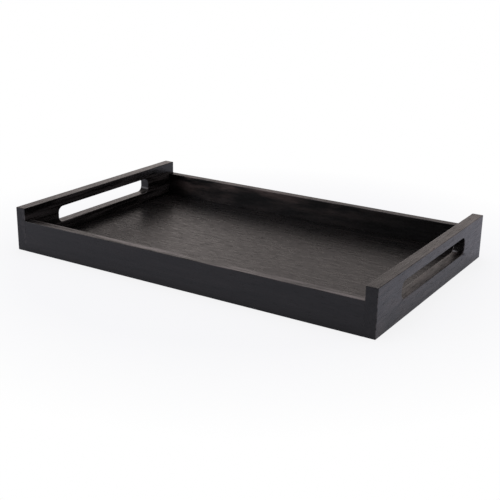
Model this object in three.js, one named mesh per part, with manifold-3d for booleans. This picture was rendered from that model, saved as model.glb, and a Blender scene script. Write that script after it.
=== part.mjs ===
// Waiter tray in dark stained wood.
// Two tall end boards with hand slots run the full width and stand past two lower rails, which
// are butted between them on hidden dowels. A floor panel sits in grooves in all four.
//
// Sizes are in millimetres. X runs along the tray, Y across it from front to rear, and Z up.
// The origin is the centre of the tray's underside.

import * as THREE from "three";
import { mergeVertices } from "three/addons/utils/BufferGeometryUtils.js";
import Module from "manifold-3d";

const wasm = await Module();
wasm.setup();

// The tray over all
const trayLength = 600;
const trayWidth = 375;

// End boards
const endBoardThickness = 17;
const endBoardHeight = 67.5;

// The hand slot through each end board, centred across the tray
const slotLength = 227;
const slotHeight = 24.8;
const slotBelowTop = 15.2; // wood left above the slot, which the hand closes round
const slotCornerRadius = 9.5;

// Rails
const railThickness = 13.5;
const railHeight = 48;

// Floor panel: a thin slab whose edges are rebated to a thinner tongue
const panelThickness = 6;
const panelRecess = 5; // the tray's underside up to the panel's
const tongueThickness = 5;
const tongueLength = 5; // the part of the tongue that lies in a groove
const grooveClearance = 0.3;
const shoulderGap = 0.3; // from the panel's raised field to the wood round it

// Dowels, laid along X through each corner joint
const dowelDiameter = 6;
const dowelLength = 25;
const dowelInEndBoard = 10;
const dowelClearance = 0.3; // glue gap all round
const dowelEndGap = 0.5; // glue gap past each end
const dowelBelowRailTop = 11;
const dowelAboveGroove = 8.7;
const dowelChamfer = 0.8;
const fluteDepth = 0.25;
const fluteCount = 12;

// Eased edges
const edgeRadius = 1;
const slotEdgeRadius = 1.2;

// How finely the round edges are faceted
const edgeSteps = 2;
const slotCornerSteps = 5;
const drillSides = 24;

// One overrun for every tool that cuts right through a face
const cutOverrun = 2;

// Places that several pieces share
const innerFaceX = trayLength / 2 - endBoardThickness;
const innerFaceY = trayWidth / 2 - railThickness;
const grooveTop = panelRecess + tongueThickness + grooveClearance;
const grooveDepth = tongueLength + grooveClearance;
const railCentreY = trayWidth / 2 - railThickness / 2;
const dowelHeights = [grooveTop + dowelAboveGroove, railHeight - dowelBelowRailTop];

const sides = [-1, 1];

// A closed geometry as a manifold solid. Only positions are kept, so that shared corners merge.
function solidFrom(geometry) {
  const bare = geometry.clone();
  bare.deleteAttribute("normal");
  bare.deleteAttribute("uv");
  const merged = mergeVertices(bare);
  return new wasm.Manifold(
    new wasm.Mesh({
      numProp: 3,
      vertProperties: merged.attributes.position.array,
      triVerts: new Uint32Array(merged.index.array),
    }),
  );
}

// The named mesh of a manifold solid.
function meshFrom(name, solid, material) {
  const { vertProperties, triVerts } = solid.getMesh();
  const geometry = new THREE.BufferGeometry();
  geometry.setAttribute("position", new THREE.BufferAttribute(vertProperties, 3));
  geometry.setIndex(new THREE.BufferAttribute(triVerts, 1));
  geometry.computeVertexNormals();
  const mesh = new THREE.Mesh(geometry, material);
  mesh.name = name;
  return mesh;
}

// A rectangle whose corners are rounded. The radii go round it from the lower left corner,
// through the lower right, and a radius of zero leaves a square corner.
function roundedRectangle(left, right, bottom, top, [lowerLeft, lowerRight, upperRight, upperLeft]) {
  const quarter = Math.PI / 2;
  const shape = new THREE.Shape();
  shape.moveTo(left + lowerLeft, bottom);
  shape.lineTo(right - lowerRight, bottom);
  if (lowerRight > 0) {
    shape.absarc(right - lowerRight, bottom + lowerRight, lowerRight, -quarter, 0);
  }
  shape.lineTo(right, top - upperRight);
  if (upperRight > 0) {
    shape.absarc(right - upperRight, top - upperRight, upperRight, 0, quarter);
  }
  shape.lineTo(left + upperLeft, top);
  if (upperLeft > 0) {
    shape.absarc(left + upperLeft, top - upperLeft, upperLeft, quarter, 2 * quarter);
  }
  shape.lineTo(left, bottom + lowerLeft);
  if (lowerLeft > 0) {
    shape.absarc(left + lowerLeft, bottom + lowerLeft, lowerLeft, 2 * quarter, 3 * quarter);
  }
  return shape;
}

// A prism of a shape drawn in Y and Z, running along X from start to end.
function prismAlongX(shape, start, end) {
  const geometry = new THREE.ExtrudeGeometry(shape, {
    depth: end - start,
    bevelEnabled: false,
    curveSegments: edgeSteps,
  });
  geometry.rotateX(Math.PI / 2);
  geometry.rotateZ(Math.PI / 2);
  geometry.translate(start, 0, 0);
  return solidFrom(geometry);
}

// A prism of a shape drawn in X and Z, running along Y through both faces of the tray's width.
function prismAlongY(shape, halfWidth) {
  const geometry = new THREE.ExtrudeGeometry(shape, {
    depth: 2 * halfWidth,
    bevelEnabled: false,
    curveSegments: edgeSteps,
  });
  geometry.rotateX(Math.PI / 2);
  geometry.translate(0, halfWidth, 0);
  return solidFrom(geometry);
}

// A prism of a shape drawn in X and Y, running up from the underside to a height.
function prismAlongZ(shape, height) {
  const geometry = new THREE.ExtrudeGeometry(shape, {
    depth: height,
    bevelEnabled: false,
    curveSegments: edgeSteps,
  });
  return solidFrom(geometry);
}

// A box between two corners.
function boxBetween([x0, y0, z0], [x1, y1, z1]) {
  const geometry = new THREE.BoxGeometry(x1 - x0, y1 - y0, z1 - z0);
  geometry.translate((x0 + x1) / 2, (y0 + y1) / 2, (z0 + z1) / 2);
  return solidFrom(geometry);
}

// A drilled hole along X, centred on a height and a place across the tray.
function drillAlongX(start, end, y, z) {
  const radius = dowelDiameter / 2 + dowelClearance;
  const geometry = new THREE.CylinderGeometry(radius, radius, end - start, drillSides);
  geometry.rotateZ(Math.PI / 2);
  geometry.translate((start + end) / 2, y, z);
  return solidFrom(geometry);
}

// The tool that cuts a hand slot, from the board's inner face at zero to its outer face. It
// flares to both faces by a quarter round, which eases the slot's rims.
function slotTool() {
  const slotTop = endBoardHeight - slotBelowTop;
  const cornerRadius = Math.min(slotCornerRadius, slotHeight / 2, slotLength / 2);
  const rounded = Array(4).fill(cornerRadius);
  const halfLength = slotLength / 2;
  const slotBottom = slotTop - slotHeight;
  const outline = roundedRectangle(-halfLength, halfLength, slotBottom, slotTop, rounded);
  const geometry = new THREE.ExtrudeGeometry(outline, {
    depth: endBoardThickness - 2 * slotEdgeRadius,
    bevelThickness: slotEdgeRadius,
    bevelSize: -slotEdgeRadius,
    bevelOffset: slotEdgeRadius,
    bevelSegments: edgeSteps,
    curveSegments: slotCornerSteps,
  });
  geometry.rotateX(Math.PI / 2);
  geometry.rotateZ(Math.PI / 2);
  geometry.translate(slotEdgeRadius, 0, 0);
  return solidFrom(geometry);
}

// An end board with its inner face at X zero and its outer face towards +X. Its blank is where
// three prisms meet, so that the edges left in view are eased and those at the rails stay square.
function endBoardSolid() {
  const halfWidth = trayWidth / 2;
  const fromEnd = Array(4).fill(edgeRadius);
  const fromFront = [0, edgeRadius, edgeRadius, edgeRadius];
  const fromAbove = [0, edgeRadius, edgeRadius, 0];
  const seenFromEnd = roundedRectangle(-halfWidth, halfWidth, 0, endBoardHeight, fromEnd);
  const seenFromFront = roundedRectangle(0, endBoardThickness, 0, endBoardHeight, fromFront);
  const seenFromAbove = roundedRectangle(0, endBoardThickness, -halfWidth, halfWidth, fromAbove);
  let board = prismAlongX(seenFromEnd, 0, endBoardThickness)
    .intersect(prismAlongY(seenFromFront, halfWidth))
    .intersect(prismAlongZ(seenFromAbove, endBoardHeight))
    .subtract(slotTool());

  // The groove stops inside the rails' thickness, so that it doesn't show on the front or rear.
  const grooveEnd = innerFaceY + grooveDepth;
  board = board.subtract(
    boxBetween([-cutOverrun, -grooveEnd, panelRecess], [grooveDepth, grooveEnd, grooveTop]),
  );
  for (const side of sides) {
    for (const height of dowelHeights) {
      const depth = dowelInEndBoard + dowelEndGap;
      board = board.subtract(drillAlongX(-cutOverrun, depth, side * railCentreY, height));
    }
  }
  return board;
}

// The front rail, centred along X. Its outer face is the tray's front, and its groove runs
// through, because the end boards cover both its ends.
function railSolid() {
  const outerY = -trayWidth / 2;
  const innerY = -innerFaceY;
  const section = new THREE.Shape();
  section.moveTo(outerY + edgeRadius, 0);
  section.lineTo(innerY, 0);
  section.lineTo(innerY, panelRecess);
  section.lineTo(innerY - grooveDepth, panelRecess);
  section.lineTo(innerY - grooveDepth, grooveTop);
  section.lineTo(innerY, grooveTop);
  section.lineTo(innerY, railHeight - edgeRadius);
  section.absarc(innerY - edgeRadius, railHeight - edgeRadius, edgeRadius, 0, Math.PI / 2);
  section.lineTo(outerY + edgeRadius, railHeight);
  section.absarc(outerY + edgeRadius, railHeight - edgeRadius, edgeRadius, Math.PI / 2, Math.PI);
  section.lineTo(outerY, edgeRadius);
  section.absarc(outerY + edgeRadius, edgeRadius, edgeRadius, Math.PI, 1.5 * Math.PI);

  let rail = prismAlongX(section, -innerFaceX, innerFaceX);
  const depth = dowelLength - dowelInEndBoard + dowelEndGap;
  for (const side of sides) {
    const mouth = side * (innerFaceX + cutOverrun);
    const bottom = side * (innerFaceX - depth);
    for (const height of dowelHeights) {
      const start = Math.min(mouth, bottom);
      const end = Math.max(mouth, bottom);
      rail = rail.subtract(drillAlongX(start, end, -railCentreY, height));
    }
  }
  return rail;
}

// The floor panel with its underside at Z zero. The tongue is the slab's rebated edge, and the
// raised field fills the well and stops just short of the wood round it.
function panelSolid() {
  const tongueX = innerFaceX + tongueLength;
  const tongueY = innerFaceY + tongueLength;
  const fieldX = innerFaceX - shoulderGap;
  const fieldY = innerFaceY - shoulderGap;
  const slab = boxBetween([-tongueX, -tongueY, 0], [tongueX, tongueY, tongueThickness]);
  const field = boxBetween([-fieldX, -fieldY, 0], [fieldX, fieldY, panelThickness]);
  return slab.add(field);
}

// A fluted dowel along X from zero, with chamfered ends. Its outline steps between the crests
// and the roots of its flutes.
function dowelSolid() {
  const crest = dowelDiameter / 2;
  const root = crest - fluteDepth;
  const outline = new THREE.Shape();
  for (let i = 0; i < 2 * fluteCount; i += 1) {
    const angle = (i * Math.PI) / fluteCount;
    const radius = i % 2 === 0 ? crest : root;
    const point = [radius * Math.cos(angle), radius * Math.sin(angle)];
    if (i === 0) {
      outline.moveTo(...point);
    } else {
      outline.lineTo(...point);
    }
  }
  const geometry = new THREE.ExtrudeGeometry(outline, {
    depth: dowelLength - 2 * dowelChamfer,
    bevelThickness: dowelChamfer,
    bevelSize: dowelChamfer,
    bevelOffset: -dowelChamfer,
    bevelSegments: 1,
  });
  geometry.rotateY(Math.PI / 2);
  geometry.translate(dowelChamfer, 0, 0);
  return solidFrom(geometry);
}

// Finishes: a satin black-brown stain on the frame, a slightly lighter one on the panel's
// veneer, and bare beech on the dowels inside the joints.
function stainedBoard() {
  return new THREE.MeshStandardMaterial({ color: 0x2b2728, roughness: 0.45, metalness: 0 });
}

function stainedVeneer() {
  return new THREE.MeshStandardMaterial({ color: 0x383231, roughness: 0.38, metalness: 0 });
}

function bareBeech() {
  return new THREE.MeshStandardMaterial({ color: 0xc8a373, roughness: 0.7, metalness: 0 });
}

// The frame's four boards, each turned half round from its twin.
function frameGroup() {
  const group = new THREE.Group();
  const endBoard = endBoardSolid();
  const rail = railSolid();

  const right = meshFrom("right_end_board", endBoard, stainedBoard());
  right.position.x = innerFaceX;
  const left = meshFrom("left_end_board", endBoard, stainedBoard());
  left.position.x = -innerFaceX;
  left.rotation.z = Math.PI;

  const front = meshFrom("front_rail", rail, stainedBoard());
  const rear = meshFrom("rear_rail", rail, stainedBoard());
  rear.rotation.z = Math.PI;

  group.add(right, left, front, rear);
  return group;
}

// The dowels of one corner, which reach from the end board's drilling into the rail's.
function cornerDowels(corner, sideX, sideY, dowel) {
  const group = new THREE.Group();
  const rowNames = ["lower", "upper"];
  dowelHeights.forEach((height, row) => {
    const mesh = meshFrom(`dowel_${corner}_${rowNames[row]}`, dowel, bareBeech());
    mesh.position.z = height;
    group.add(mesh);
  });
  const inRail = dowelLength - dowelInEndBoard;
  const outerEnd = innerFaceX + dowelInEndBoard;
  group.position.x = sideX > 0 ? innerFaceX - inRail : -outerEnd;
  group.position.y = sideY * railCentreY;
  return group;
}

const tray = new THREE.Group();
tray.name = "waiter_tray";
tray.add(frameGroup());

const panel = meshFrom("base_panel", panelSolid(), stainedVeneer());
panel.position.z = panelRecess;
tray.add(panel);

const dowel = dowelSolid();
const corners = [
  ["front_left", -1, -1],
  ["front_right", 1, -1],
  ["rear_left", -1, 1],
  ["rear_right", 1, 1],
];
for (const [corner, sideX, sideY] of corners) {
  tray.add(cornerDowels(corner, sideX, sideY, dowel));
}

export default tray;
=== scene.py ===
"""A waiter tray in black-brown stained wood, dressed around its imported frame.

Lengths are metres in the frame's own axes: X along the tray, Y from front to rear, Z up.
"""

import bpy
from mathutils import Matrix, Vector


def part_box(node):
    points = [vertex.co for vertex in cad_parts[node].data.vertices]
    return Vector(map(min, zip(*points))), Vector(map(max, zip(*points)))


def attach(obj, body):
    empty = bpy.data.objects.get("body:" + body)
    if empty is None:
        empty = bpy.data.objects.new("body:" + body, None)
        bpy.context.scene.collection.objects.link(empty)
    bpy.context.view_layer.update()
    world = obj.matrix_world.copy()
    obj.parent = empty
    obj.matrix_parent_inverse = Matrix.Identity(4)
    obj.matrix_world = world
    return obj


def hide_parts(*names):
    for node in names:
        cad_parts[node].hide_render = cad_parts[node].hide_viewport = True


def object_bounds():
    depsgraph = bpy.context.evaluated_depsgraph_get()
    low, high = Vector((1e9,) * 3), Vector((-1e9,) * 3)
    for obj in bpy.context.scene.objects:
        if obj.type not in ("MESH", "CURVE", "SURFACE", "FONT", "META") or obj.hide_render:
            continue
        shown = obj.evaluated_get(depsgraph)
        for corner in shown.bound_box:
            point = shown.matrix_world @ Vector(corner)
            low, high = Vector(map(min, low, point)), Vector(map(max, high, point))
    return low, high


bl_info = {
    "name": "Waiter tray",
    "version": (1, 0, 0),
    "blender": (4, 5, 0),
    "location": "3D View > Sidebar > Tray",
    "description": "Builds a stained wooden waiter tray, board by board, on its studio floor",
    "category": "Add Mesh",
}

import math

import bpy
import numpy as np
from bpy.props import FloatProperty, FloatVectorProperty, PointerProperty
from mathutils import Matrix, Vector

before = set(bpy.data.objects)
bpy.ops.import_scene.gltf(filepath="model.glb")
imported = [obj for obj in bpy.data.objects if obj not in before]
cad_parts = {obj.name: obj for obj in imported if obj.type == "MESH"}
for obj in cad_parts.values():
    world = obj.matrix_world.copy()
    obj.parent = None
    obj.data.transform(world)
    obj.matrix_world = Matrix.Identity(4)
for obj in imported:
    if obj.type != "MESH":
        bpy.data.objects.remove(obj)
cad_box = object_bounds()

MM = 0.001

# The frame's boards, as lowest and highest corners
END_LOW, END_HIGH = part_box("right_end_board")
RAIL_LOW, RAIL_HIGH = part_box("front_rail")
PANEL_LOW, PANEL_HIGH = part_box("base_panel")
DOWELS = sorted(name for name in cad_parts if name.startswith("dowel_"))

# Faces that several pieces share
INNER_X = END_LOW.x
HALF_WIDTH = END_HIGH.y
BOARD_THICKNESS = END_HIGH.x - END_LOW.x
BOARD_HEIGHT = END_HIGH.z
RAIL_HEIGHT = RAIL_HIGH.z
RAIL_INNER_Y = RAIL_HIGH.y

# How finely the surfaces are divided
ARRIS_STEPS = 6
CORNER_STEPS = 12
LONG_STEPS = 76
DRILL_SIDES = 40

# How an end board's upright side is divided: evenly below and above the place where its arris
# grows, and there at these heights, in arrises over the rail's top
SIDE_STEPS_BELOW = 7
SIDE_STEPS_ABOVE = 4
STEP_UP_SHARES = (-4.0, 0.0, 0.3, 0.6, 1.0, 4.0)

# An end board's corners are a little rounder than its arris, whose lines of points would
# otherwise run together in them
CORNER_SHARE = 1.05

# A narrow flat strip beside each round edge, which keeps the face beyond it flat
FLAT_BESIDE_ARRIS = 0.3 * MM

# An edge that bends the surface by more than this is shaded sharp
SHARP_EDGE = math.radians(32)

# How strongly the lacquer bends light
LACQUER_IOR = 1.45

# How much the lacquer's roughness varies over the flecks, and what pores and dull places add
FLECK_ROUGHNESS = 0.05
PORE_ROUGHNESS = 0.2
DULL_ROUGHNESS = 0.3

# How much the pores darken the stain, and how much of the lighter grey shows at most: wear, with
# painted highlight on the arrises and the front rail's top and painted light on the left board's inner face
PORE_SHARE = 0.7
WORN_AND_LIT_SHARE = 0.8

# How fine the wood's patterns are, in cycles per metre along the grain, across and up
BROAD_SCALES = (3, 34, 34)
STREAK_SCALES = (9, 170, 170)
FLECK_SCALES = (40, 170, 170)
FIBRE_SCALES = (40, 1300, 1300)
PORE_SCALES = (60, 800, 800)
PATCH_SCALES = (14, 80, 80)
END_PATCH_SCALES = (25, 150, 150)
BEECH_RING_SCALES = (8, 420, 420)
BEECH_FLECK_SCALES = (250, 1500, 1500)

# The range that most of a pattern's values lie in
NOISE_RANGE = (0.3, 0.7)

# The rear rail's inner face is browner, partly thin stain and partly painted light that falls off
# to the right and to a painted shade at the foot: where it has faded in, and where it begins to
# fall and ends, as shares of the rail's length from its left end, and the share of it that is
# left at the foot
THIN_AND_LIT_FADED_IN_SHARE = 0.08
THIN_AND_LIT_FALL_SHARES = (0.077, 0.846)
THIN_AND_LIT_FOOT_SHARE = 0.1

# The light's tints
PURE_WHITE = (1.0, 1.0, 1.0)
WARM_WHITE = (1.0, 0.90, 0.87)
COOL_WHITE = (0.93, 0.92, 1.0)

# Where the studio's white walls begin to fade and where the ceiling begins, as sines of the climb
WALL_FADE = (0.22, 0.40)

# The side that the light comes from, and how far round the walls fade, as cosines from it
LIGHT_SIDE = (-0.8, 0.6, 0.0)
SIDE_FADE = (-0.05, 0.60)

# A tall bright window in the left rear wall: the direction square to its own, the sines of the
# angles beside it at which it begins to fade and ends, and those of the climb where it begins
WINDOW_ACROSS = (0.806, 0.592, 0.0)
WINDOW_FADE = (0.010, 0.045)
WINDOW_SILL = (0.24, 0.32)

# The studio floor, a polygon
FLOOR_RADIUS = 12.0
FLOOR_SIDES = 96

# How far from its middle the floor begins to lose the tray's shadow, and where it is all white
SHADOW_REACH = (0.34, 0.56)

# The lamps' places and sides
KEY_PLACE = (-0.2, 0.3, 2.2)
KEY_SIDE = 1.2
FILL_PLACE = (-1.3, -1.2, 0.6)
FILL_SIDE = 0.8

# The camera that the photograph was taken with, its place in tray lengths
CAMERA_LENS_MM = 67.98
CAMERA_SENSOR_MM = 36.0
CAMERA_AZIMUTH = math.radians(31.84)
CAMERA_ELEVATION = math.radians(18.80)
CAMERA_ROLL = math.radians(1.04)
CAMERA_PLACE_SHARES = Vector((1.2082, -1.9415, 0.7872))


def length(name, description, default):
    """A property that holds a length in metres."""
    return FloatProperty(
        name=name,
        description=description,
        default=default,
        min=0.0,
        precision=5,
        subtype="DISTANCE",
        unit="LENGTH",
    )


def power(name, description, default):
    """A property that holds a lamp's power in watts."""
    return FloatProperty(
        name=name, description=description, default=default, min=0.0, subtype="POWER", unit="POWER"
    )


def share(name, description, default):
    """A property that holds a share or a strength."""
    return FloatProperty(name=name, description=description, default=default, min=0.0, subtype="FACTOR")


def colour(name, description, default):
    """A property that holds a linear colour."""
    return FloatVectorProperty(
        name=name, description=description, default=default, min=0.0, max=1.0, size=3, subtype="COLOR"
    )


class TraySizes(bpy.types.PropertyGroup):
    """Sizes of the boards' edges and joints, beside those that the frame gives"""

    slot_length: length("Slot length", "Hand slot from end to end", 227 * MM)
    slot_height: length("Slot height", "Hand slot from sill to top", 24.8 * MM)
    slot_below_top: length("Wood above slot", "Bar left above the hand slot", 15.2 * MM)
    slot_corner: length("Slot corner", "Radius of the hand slot's corners", 9.5 * MM)
    slot_rim: length("Slot rim", "Rounding of the hand slot's rims", 1.2 * MM)
    arris: length("Arris", "Rounding of the edges left in view", 0.9 * MM)
    seam_arris: length("Seam arris", "Rounding of the edges that meet at a joint", 0.14 * MM)
    arris_wander: share("Arris wander", "How much the hand sanded edges swell and thin", 0.22)
    tongue: length("Tongue", "Thickness of the floor panel's tongue", 5 * MM)
    shoulder_gap: length("Shoulder gap", "Gap round the floor panel's raised field", 0.3 * MM)
    groove_gap: length("Groove gap", "Play of the tongue in its groove", 0.3 * MM)
    dowel_gap: length("Dowel gap", "Glue gap round a dowel", 0.3 * MM)
    dowel_end_gap: length("Dowel end gap", "Glue gap past a dowel's end", 0.5 * MM)


class TrayFinish(bpy.types.PropertyGroup):
    """Colours and surface of the stained wood"""

    stain: colour("Stain", "The stain where it is darkest", (0.0012, 0.0010, 0.0010))
    figure: colour("Figure", "The lighter streaks of the grain", (0.0075, 0.0061, 0.0057))
    # Brown is also painted light on the rear rail's inner face and the right board's outer face
    brown: colour("Brown", "Where the wood shows through the stain", (0.0900, 0.0650, 0.0570))
    # The worn colour, a lighter grey, stands for wear, and is also painted highlight on the arrises and the
    # front rail's top, and painted light on the left board's inner face
    worn_and_lit: colour("Worn", "Where hands have rubbed the stain", (0.1200, 0.1020, 0.0980))
    beech: colour("Beech", "The dowels' bare wood", (0.5700, 0.3700, 0.1700))
    beech_fleck: colour("Beech fleck", "Its flecks and rings", (0.3534, 0.2294, 0.1054))
    end_thin: share("End board thin stain", "How thin the stain is all over the end boards", 0.05)
    # Painted light: the right board's outer face is browner, partly thin stain and partly painted warm light
    # on that side
    outside_thin_and_lit: share("Outside thin stain", "What the right board's outer face adds to that", 0.30)
    sill_thin: share("Sill thin stain", "What the right slot's sill adds to that", 0.35)
    rail_thin: share("Rail thin stain", "How thin the stain is all over the rails", 0.02)
    # Painted light: the rear rail's inner face is browner at its upper left, as light falls there
    rear_rail_thin_and_light: share("Rear rail thin stain", "What its inner face adds to that at most", 1.40)
    panel_thin: share("Panel thin stain", "How thin the stain is on the floor panel", 0.05)
    # Painted light: the left board's dim inner face gets lighter grey, partly rubbing and partly painted
    # light
    rubbed_and_lit_inside: share("Rubbed inside", "How rubbed the left board's inner face is", 0.22)
    end_roughness: share("End board roughness", "Roughness of the lacquer on the end boards", 0.25)
    rail_roughness: share("Rail roughness", "Roughness of the lacquer on the rails", 0.31)
    panel_roughness: share("Panel roughness", "Roughness of the lacquer on the floor panel", 0.29)
    dull_end_grain: share("Dull end grain", "How dull the lacquer is on the end grain", 0.40)
    dull_sill: share("Dull sill", "How dull it is at the outer rim of the right slot's sill", 0.70)
    dull_rear_rail: share("Dull rear rail", "How dull it is on the rear rail", 0.25)
    pore_depth: length("Pore depth", "Depth of the open pores", 0.06 * MM)
    end_waves: length("End board waves", "Height of the grain's waves on the end boards", 0.42 * MM)
    rail_waves: length("Rail waves", "Height of the grain's waves on the rails", 0.3 * MM)
    panel_waves: length("Panel waves", "Height of the grain's waves on the floor panel", 0.38 * MM)


class TrayStage(bpy.types.PropertyGroup):
    """Light and floor of the studio"""

    floor: colour("Floor", "Paint of the studio floor", (0.60, 0.60, 0.67))
    shadow: share("Shadow", "How much of the tray's shadow the white floor keeps", 0.15)
    reflected_shadow: share("Reflected shadow", "How much of it the floor keeps in reflections", 0.80)
    sky: share("Sky", "Strength of the light from all round", 0.70)
    walls: share("Walls", "Brightness of the studio's walls in reflections", 0.9)
    ceiling: share("Ceiling", "Brightness of the ceiling, as a share of the walls'", 0.5)
    far_side: share("Far side", "Brightness of the unlit walls, as a share of the lit ones'", 0.08)
    window: share("Window", "What the window adds, as a share of the walls' brightness", 0.9)
    key: power("Key", "Power of the large lamp over the tray", 13.0)
    fill: power("Fill", "Power of the small lamp at the front left", 6.0)


# Mesh helpers


def wander(along, seed):
    """A slow swell between -1 and 1 at most: the weighted sum of three sines of the distance along
    an edge, with wave numbers in radians per metre and phases that follow the seed."""
    wave_numbers = np.array([23.0, 61.0, 147.0])
    weights = np.array([0.5, 0.3, 0.2])
    phases = seed * np.array([1.7, 2.9, 4.3])
    return (weights * np.sin(np.asarray(along)[..., None] * wave_numbers + phases)).sum(-1)


def grid_quads(rows, columns, wrap_rows, wrap_columns):
    """The quads between a grid's neighbouring lines. A direction that wraps also joins its last
    line to its first."""
    row, column = np.meshgrid(
        np.arange(rows if wrap_rows else rows - 1),
        np.arange(columns if wrap_columns else columns - 1),
        indexing="ij",
    )
    next_row, next_column = (row + 1) % rows, (column + 1) % columns
    quads = [
        row * columns + column,
        row * columns + next_column,
        next_row * columns + next_column,
        next_row * columns + column,
    ]
    return np.stack(quads, axis=-1).reshape(-1, 4)


def turned(points, half_turn):
    """The points, turned half round the upright axis for the left and rear pieces."""
    return points * np.array([-1.0, -1.0, 1.0]) if half_turn else points


def volume_of(mesh):
    """The volume inside a mesh, as the sum of its triangles' signed cones to the origin."""
    mesh.calc_loop_triangles()
    corners = np.empty(len(mesh.loop_triangles) * 3, np.int32)
    mesh.loop_triangles.foreach_get("vertices", corners)
    points = np.empty(len(mesh.vertices) * 3)
    mesh.vertices.foreach_get("co", points)
    a, b, c = points.reshape(-1, 3)[corners.reshape(-1, 3)].transpose(1, 0, 2)
    return float(np.einsum("ij,ij->i", a, np.cross(b, c)).sum() / 6)


def new_object(name, points, quads, caps=()):
    """A mesh object at the origin. A quad is four corners, and a cap is one face with many."""
    mesh = bpy.data.meshes.new(name)
    corners = np.concatenate([np.ravel(quads), *caps]).astype(np.int32)
    totals = np.array([4] * len(quads) + [len(cap) for cap in caps])
    starts = np.concatenate([[0], np.cumsum(totals)[:-1]]).astype(np.int32)
    mesh.vertices.add(points.size // 3)
    mesh.vertices.foreach_set("co", np.ascontiguousarray(points, np.float32).ravel())
    mesh.loops.add(len(corners))
    mesh.loops.foreach_set("vertex_index", corners)
    mesh.polygons.add(len(starts))
    mesh.polygons.foreach_set("loop_start", starts)
    mesh.update(calc_edges=True)
    made = bpy.data.objects.new(name, mesh)
    bpy.context.scene.collection.objects.link(made)
    return made


def store(piece, **values):
    """Keeps numbers for a piece's points under names that its material can read. Each name has
    one number for each point, or one for them all."""
    for name, numbers in values.items():
        spread = np.broadcast_to(np.ravel(numbers), len(piece.data.vertices))
        stored = piece.data.attributes.new(name, "FLOAT", "POINT")
        stored.data.foreach_set("value", np.ascontiguousarray(spread, np.float32))


def cut(piece, cutters):
    """Takes the closed cutter meshes out of a piece for good."""
    for cutter in cutters:
        modifier = piece.modifiers.new("joinery", "BOOLEAN")
        modifier.operation = "DIFFERENCE"
        modifier.solver = "EXACT"
        modifier.object = cutter
    bpy.context.view_layer.update()
    graph = bpy.context.evaluated_depsgraph_get()
    cut_piece = piece.evaluated_get(graph)
    mesh = bpy.data.meshes.new_from_object(cut_piece, preserve_all_data_layers=True, depsgraph=graph)
    piece.modifiers.clear()
    piece.data = mesh
    for cutter in cutters:
        bpy.data.objects.remove(cutter)


def finish_piece(piece, node, material):
    """Shades a piece, gives it its finish and puts it in the place of its node."""
    mesh = piece.data
    mesh.polygons.foreach_set("use_smooth", np.ones(len(mesh.polygons), bool))
    mesh.set_sharp_from_angle(angle=SHARP_EDGE)
    mesh.materials.clear()
    mesh.materials.append(material)
    if volume_of(mesh) <= 0:
        raise RuntimeError(f"{piece.name} is inside out")
    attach(piece, "root")
    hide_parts(node)


# Shapes


def lively_arris(sizes, along, seed):
    """A hand sanded edge's radius: the arris, less a slow swell along the edge, at least half."""
    return sizes.arris * np.clip(1 - sizes.arris_wander * (0.5 + 0.5 * wander(along, seed)), 0.5, 1.0)


def quarter_round():
    """A quarter circle in even steps: how far along it is, how far it has come up, and its grey share.

    The first is 1 less the cosine of the angle, the second the sine. The grey share, partly wear
    and partly a painted highlight along the rounded edge, is most at 45 degrees, where a hand
    rubs and where the edge would catch the light."""
    angle = np.linspace(0, math.pi / 2, ARRIS_STEPS + 1)
    return list(zip(1 - np.cos(angle), np.sin(angle), np.sin(2 * angle)))


def rounded_outline(half_width, low, high, radius, side_heights):
    """A rectangle in Y and Z with round corners, as points and outward directions.

    Each corner is an arc of its radius about a centre set in by that radius. Each side is the
    straight line between two arcs, divided at the given heights where it is upright. It goes
    round anticlockwise as seen from the right, from the lower rear corner."""
    centre_y, low_z, high_z = half_width - radius, low + radius, high - radius
    centres = [(centre_y, low_z), (centre_y, high_z), (-centre_y, high_z), (-centre_y, low_z)]
    upwards = (side_heights - low_z) / (high_z - low_z)
    across = np.linspace(0, 1, LONG_STEPS + 1)[1:-1]
    points, outward = [], []
    for corner, shares in enumerate([upwards, across, 1 - upwards[::-1], across]):
        angle = math.pi / 2 * (corner - 1) + np.linspace(0, math.pi / 2, CORNER_STEPS + 1)
        facing = np.stack([np.cos(angle), np.sin(angle)], axis=-1)
        arc = np.array(centres[corner]) + radius * facing
        next_arc = np.array(centres[(corner + 1) % 4]) + radius * facing[-1]
        points += [arc, arc[-1] + shares[:, None] * (next_arc - arc[-1])]
        outward += [facing, np.repeat(facing[-1:], len(shares), axis=0)]
    return np.concatenate(points), np.concatenate(outward)


def slot_heights(sizes):
    """The heights of a hand slot's sill and of its top."""
    top = BOARD_HEIGHT - sizes.slot_below_top
    return top - sizes.slot_height, top


def end_board_outlines(sizes):
    """The outline of an end board and that of its slot, each as points and outward directions.

    Both have as many points, so that one can be joined to the other. The board's upright sides
    are divided most finely where its arris grows, the slot's evenly."""
    step_up = RAIL_HEIGHT + sizes.arris * np.array(STEP_UP_SHARES)
    below = np.linspace(0, step_up[0], SIDE_STEPS_BELOW + 1)[1:-1]
    above = np.linspace(step_up[-1], BOARD_HEIGHT, SIDE_STEPS_ABOVE + 1)[1:-1]
    heights = np.concatenate([below, step_up, above])
    board = rounded_outline(HALF_WIDTH, 0.0, BOARD_HEIGHT, CORNER_SHARE * sizes.arris, heights)

    low, top = slot_heights(sizes)
    corner = sizes.slot_corner
    heights = np.linspace(low + corner, top - corner, len(heights) + 2)[1:-1]
    slot = rounded_outline(sizes.slot_length / 2, low, top, corner, heights)
    return board, slot


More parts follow.
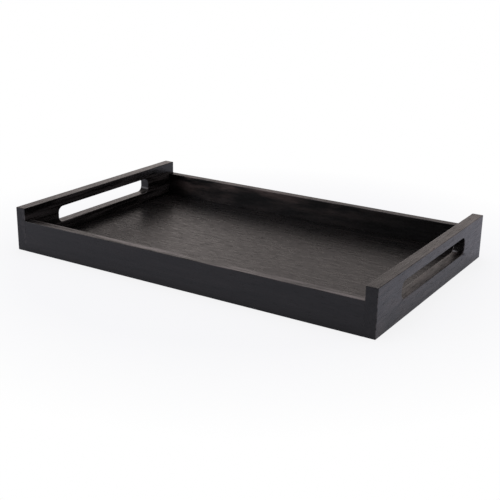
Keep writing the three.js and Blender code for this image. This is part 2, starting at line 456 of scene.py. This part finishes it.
def end_board_points(sizes, seed):
    """An end board as a ring: one parameter goes round the slot, the other round the wood.

    At each place round the slot, the section crosses the slot's wall, rounds its rim by a
    quarter circle, goes straight over the outer face to the board's edge, rounds that edge, and
    comes back over the inner face in the same way. X is from the board's middle, and an offset
    moves a point along its outline's outward direction. The edges that meet a rail are nearly
    sharp, and grow to the full arris just above it. Returns the points and each one's grey share,
    which is partly wear and partly painted highlight on the rounded edges."""
    (outer, outer_out), (inner, inner_out) = end_board_outlines(sizes)
    half, rim = BOARD_THICKNESS / 2, sizes.slot_rim
    outer_arris = lively_arris(sizes, outer.sum(axis=1), seed)
    over_rail = abs(outer[:, 0]) > abs(RAIL_INNER_Y)
    free = np.where(over_rail, np.clip((outer[:, 1] - RAIL_HEIGHT) / sizes.arris, 0, 1), 1)
    inner_arris = sizes.seam_arris + free * (outer_arris - sizes.seam_arris)
    rows, worn_and_lit = [], []

    def add(x, outline, outward, offset, wear=0.0):
        count = len(outline)
        place = outline + outward * np.broadcast_to(offset, count)[:, None]
        rows.append(np.column_stack([np.broadcast_to(x, count), place]))
        worn_and_lit.append(np.full(count, wear))

    def add_face(x, start, end):
        span = np.linalg.norm(end - start, axis=1)[:, None]
        beside = FLAT_BESIDE_ARRIS / span
        for place in (beside, 0.25, 0.5, 0.75, 1 - beside):
            add(x, start + place * (end - start), outer_out, 0)

    for share_of_wall in (-1, -0.5, 0, 0.5, 1):
        add(share_of_wall * (half - rim - FLAT_BESIDE_ARRIS), inner, inner_out, 0)
    for back, up, wear in quarter_round():
        add(half - rim * (1 - up), inner, inner_out, rim * back, wear)
    add_face(half, inner + rim * inner_out, outer - outer_arris[:, None] * outer_out)
    for back, up, wear in quarter_round():
        add(half - outer_arris * back, outer, outer_out, outer_arris * (up - 1), wear)
    for share_of_edge in (1, 0, -1):
        add(share_of_edge * (half - sizes.arris - FLAT_BESIDE_ARRIS), outer, outer_out, 0)
    for back, up, wear in quarter_round():
        add(inner_arris * (1 - up) - half, outer, outer_out, -inner_arris * back, wear)
    add_face(-half, outer - inner_arris[:, None] * outer_out, inner + rim * inner_out)
    for back, up, wear in quarter_round():
        add(rim * back - half, inner, inner_out, rim * (1 - up), wear)
    return np.stack(rows), np.stack(worn_and_lit)


def drilling(low, high, sizes):
    """A round drilling for the dowel in this box: a circle carried along X, with closed ends."""
    centre = (low + high) / 2
    radius = (high.z - low.z) / 2 + sizes.dowel_gap
    angle = np.linspace(0, 2 * math.pi, DRILL_SIDES, endpoint=False)
    x = np.array([low.x - sizes.dowel_end_gap, high.x + sizes.dowel_end_gap])
    points = np.empty((2, DRILL_SIDES, 3))
    points[..., 0] = x[:, None]
    points[..., 1] = centre.y + radius * np.cos(angle)
    points[..., 2] = centre.z + radius * np.sin(angle)
    circle = np.arange(DRILL_SIDES)
    quads = grid_quads(2, DRILL_SIDES, False, True)
    return new_object("drilling", points, quads, [circle[::-1], DRILL_SIDES + circle])


def drillings(sizes, chosen):
    """The drillings of the dowels whose middle passes the test."""
    boxes = [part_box(name) for name in DOWELS]
    return [drilling(low, high, sizes) for low, high in boxes if chosen((low + high) / 2)]


def panel_groove(sizes):
    """The groove all round for the panel's tongue, as a box that reaches past the tongue.

    Its corners count up in binary, with X first: each face lists four of them, outside first."""
    gap = Vector((sizes.groove_gap, sizes.groove_gap, 0))
    low = PANEL_LOW - gap
    high = Vector((PANEL_HIGH.x, PANEL_HIGH.y, PANEL_LOW.z + sizes.tongue + sizes.groove_gap)) + gap
    corners = np.array([(x, y, z) for x in (low.x, high.x) for y in (low.y, high.y) for z in (low.z, high.z)])
    quads = [(0, 1, 3, 2), (4, 6, 7, 5), (0, 4, 5, 1), (2, 3, 7, 6), (0, 2, 6, 4), (1, 5, 7, 3)]
    return new_object("groove", corners, quads)


def rail_points(sizes, seed, top_wear):
    """The front rail: its section, with the panel's groove, carried along X.

    The section goes round anticlockwise as seen from the right. Its two top edges and its outer
    lower edge are quarter circles whose radius swells and thins along the rail. The last line at
    each end is drawn in by the seam's arris. Returns the points and each one's grey share, which
    is partly wear and partly painted highlight on the arrises, and on the flat of the top is the
    given painted highlight."""
    ends, seam = RAIL_HIGH.x, sizes.seam_arris
    middle = np.linspace(-ends, ends, 2 * LONG_STEPS)[1:-1]
    stations = np.concatenate([[-ends, seam - ends], middle, [ends - seam, ends]])
    drawn_in = np.where(abs(stations) == ends, seam, 0.0)
    thick = RAIL_INNER_Y - RAIL_LOW.y
    groove_bottom = thick - (PANEL_HIGH.y + RAIL_INNER_Y) - sizes.groove_gap
    groove_low = PANEL_LOW.z - drawn_in
    groove_high = PANEL_LOW.z + sizes.tongue + sizes.groove_gap + drawn_in
    outer_low, outer_top, inner_top = (lively_arris(sizes, stations, seed + edge) for edge in range(3))
    low, top = drawn_in, RAIL_HEIGHT - drawn_in
    outside, inside = drawn_in, thick - drawn_in
    columns, worn_and_lit = [], []

    def add(y, z, wear=0.0):
        columns.append(np.stack(np.broadcast_arrays(stations, y, z), axis=-1))
        worn_and_lit.append(np.full(len(stations), wear))

    for back, up, wear in quarter_round():
        add(outside + outer_low * back, low + outer_low * (1 - up), wear)
    add(outside + outer_low + FLAT_BESIDE_ARRIS, low)
    add(inside, low)
    add(inside, groove_low)
    add(groove_bottom, groove_low)
    add(groove_bottom, groove_high)
    add(inside, groove_high)
    add(inside, (groove_high + RAIL_HEIGHT) / 2)
    add(inside, top - inner_top - FLAT_BESIDE_ARRIS)
    for back, up, wear in quarter_round():
        add(inside - inner_top * back, top - inner_top * (1 - up), wear)
    # The flat of the top: a painted highlight in lighter grey, as light falls along the front rail's top
    add(inside - inner_top - FLAT_BESIDE_ARRIS, top, top_wear)
    add(outside + outer_top + FLAT_BESIDE_ARRIS, top, top_wear)
    for back, up, wear in quarter_round():
        add(outside + outer_top * (1 - up), top - outer_top * back, wear)
    add(outside, top - outer_top - FLAT_BESIDE_ARRIS)
    add(outside, RAIL_HEIGHT / 2)
    add(outside, low + outer_low + FLAT_BESIDE_ARRIS)
    points = np.stack(columns, axis=1)
    points[..., 1] += RAIL_LOW.y
    return points, np.stack(worn_and_lit, axis=1)


def end_board_finish(points, sizes, finish):
    """How thin the stain is on an end board, how dull its lacquer and how much lighter grey its faces get.

    The stain is thinnest on the right board, on its slot's sill and on its outer face, whose brown
    is partly painted warm light on that side, and not thin on the end grain, which fades in over
    the arris. The lacquer is dull on the end grain and on that sill, where it gets duller evenly
    from the inner rim to the outer one. The left board's inner face gets a little lighter grey,
    partly rubbing and partly painted light on that dim face."""
    x, y, z = points[..., 0], points[..., 1], points[..., 2]
    sill, _ = slot_heights(sizes)
    on_sill = (x > 0) & (abs(z - sill) < sizes.slot_rim) & (abs(y) < sizes.slot_length / 2)
    left_inside = (x < 0) & (x > -INNER_X - sizes.slot_rim)
    right_outside = x > INNER_X + BOARD_THICKNESS - sizes.slot_rim
    end_grain = np.clip((abs(y) - HALF_WIDTH) / sizes.arris + 1, 0, 1)
    outwards = np.clip((x - INNER_X) / BOARD_THICKNESS, 0, 1)
    # The right board's outer face is browner, partly thin stain and partly painted warm light
    thin = finish.end_thin + finish.sill_thin * on_sill + finish.outside_thin_and_lit * right_outside
    dull = np.maximum(finish.dull_end_grain * end_grain, finish.dull_sill * outwards * on_sill)
    # The left board's inner face: lighter grey, partly rubbing and partly painted light
    return thin * (1 - end_grain), dull, finish.rubbed_and_lit_inside * left_inside


def rail_thin_stain(points, finish):
    """How thin the stain is on a rail: a little all over, and most on the rear rail's inner face,
    where its brown is partly painted light.

    There it fades in with the square of the distance from the left end, and then falls in a
    straight line, to nothing short of the right end, as light falls off there. It also grows with
    the square of the height, from a small share at the foot, a painted shade low down."""
    x, y, z = points[..., 0], points[..., 1], points[..., 2]
    inside_rear = (y > 0) & (y < (HALF_WIDTH - RAIL_INNER_Y) / 2)
    from_left = (x + INNER_X) / (2 * INNER_X)
    fade_in = np.clip(from_left / THIN_AND_LIT_FADED_IN_SHARE, 0, 1) ** 2
    fall_start, fall_end = THIN_AND_LIT_FALL_SHARES
    fall = np.clip((fall_end - from_left) / (fall_end - fall_start), 0, 1)
    up = THIN_AND_LIT_FOOT_SHARE + (1 - THIN_AND_LIT_FOOT_SHARE) * np.clip(z / RAIL_HEIGHT, 0, 1) ** 2
    return finish.rail_thin + finish.rear_rail_thin_and_light * np.where(inside_rear, fade_in * fall * up, 0)


def panel_points(sizes):
    """The floor panel: rectangles about the upright axis, one for each step of its profile.

    The profile goes from the middle of the underside out to the tongue's edge, back over the
    tongue, up the shoulder and in to the middle of the top."""
    tongue_top = PANEL_LOW.z + sizes.tongue
    field = np.array([INNER_X, -RAIL_INNER_Y]) - sizes.shoulder_gap
    edge = np.array([PANEL_HIGH.x, PANEL_HIGH.y])
    ease = sizes.seam_arris
    profile = [(edge * share_out, PANEL_LOW.z) for share_out in (0.02, 0.35, 0.7)]
    profile += [(edge - ease, PANEL_LOW.z), (edge, PANEL_LOW.z + ease), (edge, tongue_top - ease)]
    profile += [(edge - ease, tongue_top), (field, tongue_top), (field, PANEL_HIGH.z - ease)]
    profile += [(field - ease, PANEL_HIGH.z), (field - ease - FLAT_BESIDE_ARRIS, PANEL_HIGH.z)]
    profile += [(field * share_out, PANEL_HIGH.z) for share_out in (0.75, 0.5, 0.25, 0.02)]
    along = np.linspace(-1, 1, LONG_STEPS, endpoint=False)
    one = np.ones(LONG_STEPS)
    sides = [(along, -one), (one, along), (-along, one), (-one, -along)]
    unit = np.concatenate([np.stack(side, axis=-1) for side in sides])
    return np.stack([np.column_stack([unit * half, np.full(len(unit), z)]) for half, z in profile])


# Materials


def new_material(name):
    """A material with nodes, its tree and its shader."""
    material = bpy.data.materials.new(name)
    material.use_nodes = True
    tree = material.node_tree
    return material, tree, tree.nodes["Principled BSDF"]


def noise(tree, coordinates, scales, detail=2.0, distortion=0.0):
    """Noise that is stretched: the scales are cycles per metre along the grain, across and up."""
    stretched = tree.nodes.new("ShaderNodeVectorMath")
    stretched.operation = "MULTIPLY"
    stretched.inputs[1].default_value = scales
    tree.links.new(coordinates, stretched.inputs[0])
    texture = tree.nodes.new("ShaderNodeTexNoise")
    texture.inputs["Scale"].default_value = 1.0
    texture.inputs["Detail"].default_value = detail
    texture.inputs["Distortion"].default_value = distortion
    tree.links.new(stretched.outputs[0], texture.inputs["Vector"])
    return texture.outputs["Fac"]


def remap(tree, value, low, high, to_low=0.0, to_high=1.0):
    """A value moved from one range to another and held there."""
    node = tree.nodes.new("ShaderNodeMapRange")
    node.clamp = True
    for socket, number in zip(node.inputs[1:5], (low, high, to_low, to_high)):
        socket.default_value = number
    tree.links.new(value, node.inputs[0])
    return node.outputs[0]


def maths(tree, operation, a, b):
    """Arithmetic on two values, each a socket or a number."""
    node = tree.nodes.new("ShaderNodeMath")
    node.operation = operation
    for socket, value in zip(node.inputs, (a, b)):
        if isinstance(value, (int, float)):
            socket.default_value = value
        else:
            tree.links.new(value, socket)
    return node.outputs[0]


def blend_colours(tree, factor, a, b):
    """Colour a where the factor is 0 and b where it is 1, each a socket or a colour."""
    node = tree.nodes.new("ShaderNodeMix")
    node.data_type = "RGBA"
    tree.links.new(factor, node.inputs["Factor"])
    for socket, value in zip(node.inputs[6:8], (a, b)):
        if isinstance(value, bpy.types.NodeSocket):
            tree.links.new(value, socket)
        else:
            socket.default_value = (*value, 1.0)
    return node.outputs[2]


def attribute(tree, name):
    """The number that a piece keeps for each of its points under a name."""
    node = tree.nodes.new("ShaderNodeAttribute")
    node.attribute_name = name
    return node.outputs["Fac"]


def stained_wood(name, finish, along_y, roughness, wave_height, patch_scales):
    """Open-pored hardwood under black-brown stain and satin lacquer.

    The grain is a solid: long waves, streaks, flecks, fibres and pores that run along the board,
    so that its ends show them end on. The stain is darkest in the pores. The piece's own
    attributes say where it is brown, from thin stain and from painted light; where it is lighter
    grey, from wear and from painted highlight and painted light; and where the lacquer is dull.
    The surface rises with the flecks, half as much with the streaks and a little with the
    fibres, and sinks in the pores."""
    material, tree, shader = new_material(name)
    place = tree.nodes.new("ShaderNodeTexCoord")
    mapping = tree.nodes.new("ShaderNodeMapping")
    mapping.inputs["Rotation"].default_value = (0, 0, math.radians(-90) if along_y else 0)
    tree.links.new(place.outputs["Object"], mapping.inputs["Vector"])
    grain = mapping.outputs["Vector"]

    broad = noise(tree, grain, BROAD_SCALES, detail=3.0)
    streaks = noise(tree, grain, STREAK_SCALES, detail=3.0, distortion=0.3)
    flecks = noise(tree, grain, FLECK_SCALES, detail=3.0)
    fibres = noise(tree, grain, FIBRE_SCALES, detail=2.0)
    pores = remap(tree, noise(tree, grain, PORE_SCALES, detail=1.0), 0.60, 0.70)
    patches = remap(tree, noise(tree, grain, patch_scales, detail=3.0), 0.42, 0.62)

    broad_share = remap(tree, broad, *NOISE_RANGE, 0.4, 1.0)
    figure = maths(tree, "MULTIPLY", remap(tree, streaks, 0.35, 0.7), broad_share)
    stain = blend_colours(tree, figure, finish.stain, finish.figure)
    browned = maths(tree, "MULTIPLY", patches, remap(tree, fibres, *NOISE_RANGE, 0.6, 1.0))
    # The brown share: thin stain, and painted light on the rear rail's inner face and the right board's outer
    # face
    thin = maths(tree, "MULTIPLY", browned, attribute(tree, "thin_stain"))
    stain = blend_colours(tree, thin, stain, finish.brown)
    black = (0.0, 0.0, 0.0)
    stain = blend_colours(tree, maths(tree, "MULTIPLY", pores, PORE_SHARE), stain, black)
    # The lighter grey: wear, and painted highlight on the arrises and the front rail's top, and painted light
    # on the left board's inner face
    rubbed_and_lit = maths(tree, "MULTIPLY", attribute(tree, "wear"), remap(tree, streaks, 0.45, 0.65))
    stain = blend_colours(tree, maths(tree, "MULTIPLY", rubbed_and_lit, WORN_AND_LIT_SHARE), stain, finish.worn_and_lit)
    tree.links.new(stain, shader.inputs["Base Color"])

    smoothest, roughest = roughness - FLECK_ROUGHNESS, roughness + FLECK_ROUGHNESS
    rough = remap(tree, flecks, *NOISE_RANGE, smoothest, roughest)
    dull = attribute(tree, "dull")
    rough = maths(tree, "ADD", rough, maths(tree, "MULTIPLY", pores, PORE_ROUGHNESS))
    rough = maths(tree, "ADD", rough, maths(tree, "MULTIPLY", dull, DULL_ROUGHNESS))
    tree.links.new(rough, shader.inputs["Roughness"])
    shader.inputs["IOR"].default_value = LACQUER_IOR

    fine = maths(tree, "SUBTRACT", fibres, pores)
    fine = maths(tree, "MULTIPLY", fine, finish.pore_depth)
    waves = maths(tree, "ADD", maths(tree, "MULTIPLY", streaks, 0.5), flecks)
    waves = maths(tree, "MULTIPLY", waves, wave_height)
    bump = tree.nodes.new("ShaderNodeBump")
    bump.inputs["Strength"].default_value = 1.0
    bump.inputs["Distance"].default_value = 1.0
    tree.links.new(maths(tree, "ADD", fine, waves), bump.inputs["Height"])
    tree.links.new(bump.outputs["Normal"], shader.inputs["Normal"])
    return material


def bare_beech(name, finish):
    """Bare beech: pale, with short darker flecks and faint rings along the dowel."""
    material, tree, shader = new_material(name)
    place = tree.nodes.new("ShaderNodeTexCoord")
    grain = place.outputs["Object"]
    flecks = remap(tree, noise(tree, grain, BEECH_FLECK_SCALES, detail=1.0), 0.58, 0.66)
    rings = noise(tree, grain, BEECH_RING_SCALES, detail=2.0)
    dark = finish.beech_fleck
    tone = blend_colours(tree, remap(tree, rings, 0.35, 0.65, 0.0, 0.6), finish.beech, dark)
    tone = blend_colours(tree, maths(tree, "MULTIPLY", flecks, 0.5), tone, dark)
    tree.links.new(tone, shader.inputs["Base Color"])
    tree.links.new(remap(tree, rings, *NOISE_RANGE, 0.62, 0.75), shader.inputs["Roughness"])
    return material


# Studio


def whiteness(tree, direct, reflected):
    """How white the background shows: one share for the camera's rays and those through glass,
    another in reflections, and none for the rays that light the tray."""
    path = tree.nodes.new("ShaderNodeLightPath")
    seen = maths(tree, "MAXIMUM", path.outputs["Is Camera Ray"], path.outputs["Is Transmission Ray"])
    mirrored = maths(tree, "MULTIPLY", path.outputs["Is Glossy Ray"], reflected)
    return maths(tree, "MAXIMUM", maths(tree, "MULTIPLY", seen, direct), mirrored)


def dot(tree, direction, axis):
    """The dot product of a direction with a fixed axis."""
    node = tree.nodes.new("ShaderNodeVectorMath")
    node.operation = "DOT_PRODUCT"
    node.inputs[1].default_value = axis
    tree.links.new(direction, node.inputs[0])
    return node.outputs["Value"]


def make_world(stage):
    """A white room, lit from its left and rear, with a tall bright window there.

    The camera sees pure white, and the light from all round is even and cool. Reflections see
    warm white walls, which fade up to the ceiling and towards the room's far side, opposite
    LIGHT_SIDE. The window's strip shows there once more, dimmed like the walls."""
    world = bpy.data.worlds.new("studio")
    bpy.context.scene.world = world
    world.use_nodes = True
    tree = world.node_tree
    background = tree.nodes["Background"]
    path = tree.nodes.new("ShaderNodeLightPath")
    direction = tree.nodes.new("ShaderNodeTexCoord").outputs["Generated"]
    climb = tree.nodes.new("ShaderNodeSeparateXYZ")
    tree.links.new(direction, climb.inputs[0])
    upwards = remap(tree, climb.outputs["Z"], *WALL_FADE, 1.0, stage.ceiling)
    sideways = remap(tree, dot(tree, direction, LIGHT_SIDE), *SIDE_FADE, stage.far_side, 1.0)
    from_window = maths(tree, "ABSOLUTE", dot(tree, direction, WINDOW_ACROSS), 0.0)
    window = remap(tree, from_window, *WINDOW_FADE, stage.window, 0.0)
    window = maths(tree, "MULTIPLY", window, remap(tree, climb.outputs["Z"], *WINDOW_SILL))
    room = maths(tree, "MULTIPLY", sideways, maths(tree, "ADD", upwards, window))
    tint = blend_colours(tree, path.outputs["Is Glossy Ray"], COOL_WHITE, WARM_WHITE)
    tint = blend_colours(tree, path.outputs["Is Camera Ray"], tint, PURE_WHITE)
    tree.links.new(tint, background.inputs["Color"])
    glossy = maths(tree, "MULTIPLY", path.outputs["Is Glossy Ray"], stage.walls)
    lit = maths(tree, "MULTIPLY", path.outputs["Is Diffuse Ray"], stage.sky)
    around = maths(tree, "ADD", maths(tree, "MULTIPLY", glossy, room), lit)
    strength = maths(tree, "MAXIMUM", around, whiteness(tree, 1.0, 0.0))
    tree.links.new(strength, background.inputs["Strength"])


def make_floor(stage):
    """A round white floor that keeps a share of the tray's shadow near the tray."""
    angle = np.linspace(0, 2 * math.pi, FLOOR_SIDES, endpoint=False)
    circle = np.stack([np.cos(angle), np.sin(angle), np.zeros(FLOOR_SIDES)], -1)
    floor = new_object("studio_floor", FLOOR_RADIUS * circle, [], [np.arange(FLOOR_SIDES)])
    material, tree, shader = new_material("studio_floor_paint")
    shader.inputs["Base Color"].default_value = (*stage.floor, 1)
    shader.inputs["Roughness"].default_value = 1.0
    shader.inputs["Specular IOR Level"].default_value = 0.0
    place = tree.nodes.new("ShaderNodeTexCoord")
    away = tree.nodes.new("ShaderNodeVectorMath")
    away.operation = "LENGTH"
    tree.links.new(place.outputs["Object"], away.inputs[0])
    shown = remap(tree, away.outputs["Value"], *SHADOW_REACH, 1 - stage.shadow, 1.0)
    white = tree.nodes.new("ShaderNodeEmission")
    mixed = tree.nodes.new("ShaderNodeMixShader")
    output = tree.nodes["Material Output"]
    tree.links.new(whiteness(tree, shown, 1 - stage.reflected_shadow), mixed.inputs[0])
    tree.links.new(shader.outputs[0], mixed.inputs[1])
    tree.links.new(white.outputs[0], mixed.inputs[2])
    tree.links.new(mixed.outputs[0], output.inputs["Surface"])
    floor.data.materials.append(material)


def make_lamp(name, place, size, watts, tint):
    """A square soft lamp that looks at the tray."""
    data = bpy.data.lights.new(name, "AREA")
    data.color = tint
    data.shape = "SQUARE"
    data.size = size
    data.energy = watts
    lamp = bpy.data.objects.new(name, data)
    lamp.location = place
    lamp.rotation_mode = "QUATERNION"
    lamp.rotation_quaternion = (-Vector(place)).to_track_quat("-Z", "Y")
    bpy.context.scene.collection.objects.link(lamp)


def make_camera():
    """The photograph's camera. It looks down its own axis from an azimuth and an elevation, and
    leans by its roll."""
    side, climb, roll = CAMERA_AZIMUTH, CAMERA_ELEVATION, CAMERA_ROLL
    back = Vector((math.sin(side) * math.cos(climb), -math.cos(side) * math.cos(climb), math.sin(climb)))
    level = Vector((math.cos(side), math.sin(side), 0))
    upright = back.cross(level)
    right = math.cos(roll) * level + math.sin(roll) * upright
    up = math.cos(roll) * upright - math.sin(roll) * level
    data = bpy.data.cameras.new("camera")
    data.lens = CAMERA_LENS_MM
    data.sensor_width = CAMERA_SENSOR_MM
    camera = bpy.data.objects.new("camera", data)
    tray_length = cad_box[1].x - cad_box[0].x
    turn = Matrix((right, up, back)).transposed().to_4x4()
    camera.matrix_world = Matrix.Translation(CAMERA_PLACE_SHARES * tray_length) @ turn
    bpy.context.scene.collection.objects.link(camera)
    bpy.context.scene.camera = camera


# Operators


class TRAY_OT_end_boards(bpy.types.Operator):
    """Makes both end boards, with their hand slots, stopped grooves and dowel drillings"""

    bl_idname = "tray.end_boards"
    bl_label = "End boards"

    def execute(self, context):
        sizes, finish = context.scene.tray_sizes, context.scene.tray_finish
        roughness, waves = finish.end_roughness, finish.end_waves
        material = stained_wood("end_board_wood", finish, True, roughness, waves, END_PATCH_SCALES)
        from_middle = np.array([INNER_X + BOARD_THICKNESS / 2, 0, 0])
        for side, half_turn, seed in (("right", False, 2.0), ("left", True, 1.0)):
            points, worn_and_lit = end_board_points(sizes, seed)
            rows, columns = points.shape[:2]
            placed = turned(points + from_middle, half_turn)
            quads = grid_quads(rows, columns, True, True)[:, ::-1]
            piece = new_object(f"end_board_{side}", placed, quads)
            # The brown and the lighter grey hold painted light as well as thin stain and wear
            thin, dull, rubbed_and_lit = end_board_finish(placed, sizes, finish)
            store(piece, wear=np.maximum(worn_and_lit, rubbed_and_lit), thin_stain=thin, dull=dull)
            sign = -1 if half_turn else 1
            cut(piece, [panel_groove(sizes), *drillings(sizes, lambda place: sign * place.x > 0)])
            finish_piece(piece, f"{side}_end_board", material)
        return {"FINISHED"}


class TRAY_OT_rails(bpy.types.Operator):
    """Makes the front and rear rails, with the panel's groove and their dowel drillings"""

    bl_idname = "tray.rails"
    bl_label = "Rails"

    def execute(self, context):
        sizes, finish = context.scene.tray_sizes, context.scene.tray_finish
        roughness, waves = finish.rail_roughness, finish.rail_waves
        material = stained_wood("rail_wood", finish, False, roughness, waves, PATCH_SCALES)
        # The front rail's top gets a painted highlight, the rear rail's none
        front = ("front", False, 5.0, 1.0, 0.0)
        rear = ("rear", True, 3.0, 0.0, finish.dull_rear_rail)
        for side, half_turn, seed, top_wear, dull in (front, rear):
            points, worn_and_lit = rail_points(sizes, seed, top_wear)
            rows, columns = points.shape[:2]
            quads = grid_quads(rows, columns, False, True)
            section = np.arange(columns)
            caps = [section[::-1], (rows - 1) * columns + section]
            placed = turned(points, half_turn)
            piece = new_object(f"rail_{side}", placed, quads, caps)
            # The rear rail's inner face gets painted light in its brown
            store(piece, wear=worn_and_lit, thin_stain=rail_thin_stain(placed, finish), dull=dull)
            sign = 1 if half_turn else -1
            cut(piece, drillings(sizes, lambda place: sign * place.y > 0))
            finish_piece(piece, f"{side}_rail", material)
        return {"FINISHED"}


class TRAY_OT_floor_panel(bpy.types.Operator):
    """Makes the floor panel, with its rebated tongue all round"""

    bl_idname = "tray.floor_panel"
    bl_label = "Floor panel"

    def execute(self, context):
        sizes, finish = context.scene.tray_sizes, context.scene.tray_finish
        roughness, waves = finish.panel_roughness, finish.panel_waves
        material = stained_wood("panel_veneer", finish, False, roughness, waves, PATCH_SCALES)
        points = panel_points(sizes)
        rows, columns = points.shape[:2]
        quads = grid_quads(rows, columns, False, True)
        middle = np.arange(columns)
        caps = [middle[::-1], (rows - 1) * columns + middle]
        piece = new_object("floor_panel", points, quads, caps)
        store(piece, wear=0.0, thin_stain=finish.panel_thin, dull=0.0)
        finish_piece(piece, "base_panel", material)
        return {"FINISHED"}


class TRAY_OT_dowels(bpy.types.Operator):
    """Gives the fluted dowels in the corner joints their bare beech"""

    bl_idname = "tray.dowels"
    bl_label = "Dowels"

    def execute(self, context):
        material = bare_beech("dowel_beech", context.scene.tray_finish)
        for name in DOWELS:
            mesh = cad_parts[name].data
            mesh.materials.clear()
            mesh.materials.append(material)
        return {"FINISHED"}


class TRAY_OT_stage(bpy.types.Operator):
    """Makes the white floor and room, the soft lamps and the camera"""

    bl_idname = "tray.stage"
    bl_label = "Stage"

    def execute(self, context):
        stage = context.scene.tray_stage
        context.scene.view_settings.view_transform = "Standard"
        make_world(stage)
        make_floor(stage)
        make_lamp("key_lamp", KEY_PLACE, KEY_SIDE, stage.key, COOL_WHITE)
        make_lamp("fill_lamp", FILL_PLACE, FILL_SIDE, stage.fill, COOL_WHITE)
        make_camera()
        return {"FINISHED"}


class TRAY_PT_build(bpy.types.Panel):
    """Lists the tray's pieces, sizes, finish and stage"""

    bl_idname = "TRAY_PT_build"
    bl_label = "Waiter tray"
    bl_space_type = "VIEW_3D"
    bl_region_type = "UI"
    bl_category = "Tray"

    def draw(self, context):
        for operator in OPERATORS:
            self.layout.operator(operator.bl_idname)
        for group in (context.scene.tray_sizes, context.scene.tray_finish, context.scene.tray_stage):
            box = self.layout.box()
            for name in group.bl_rna.properties.keys():
                if name not in ("rna_type", "name"):
                    box.prop(group, name)


OPERATORS = (TRAY_OT_stage, TRAY_OT_end_boards, TRAY_OT_rails, TRAY_OT_floor_panel, TRAY_OT_dowels)
CLASSES = (TraySizes, TrayFinish, TrayStage, *OPERATORS, TRAY_PT_build)


def register():
    for cls in CLASSES:
        bpy.utils.register_class(cls)
    bpy.types.Scene.tray_sizes = PointerProperty(type=TraySizes)
    bpy.types.Scene.tray_finish = PointerProperty(type=TrayFinish)
    bpy.types.Scene.tray_stage = PointerProperty(type=TrayStage)


def unregister():
    del bpy.types.Scene.tray_stage
    del bpy.types.Scene.tray_finish
    del bpy.types.Scene.tray_sizes
    for cls in reversed(CLASSES):
        bpy.utils.unregister_class(cls)


def main():
    register()
    bpy.ops.tray.stage()
    bpy.ops.tray.end_boards()
    bpy.ops.tray.rails()
    bpy.ops.tray.floor_panel()
    bpy.ops.tray.dowels()


if __name__ == "__main__":
    main()
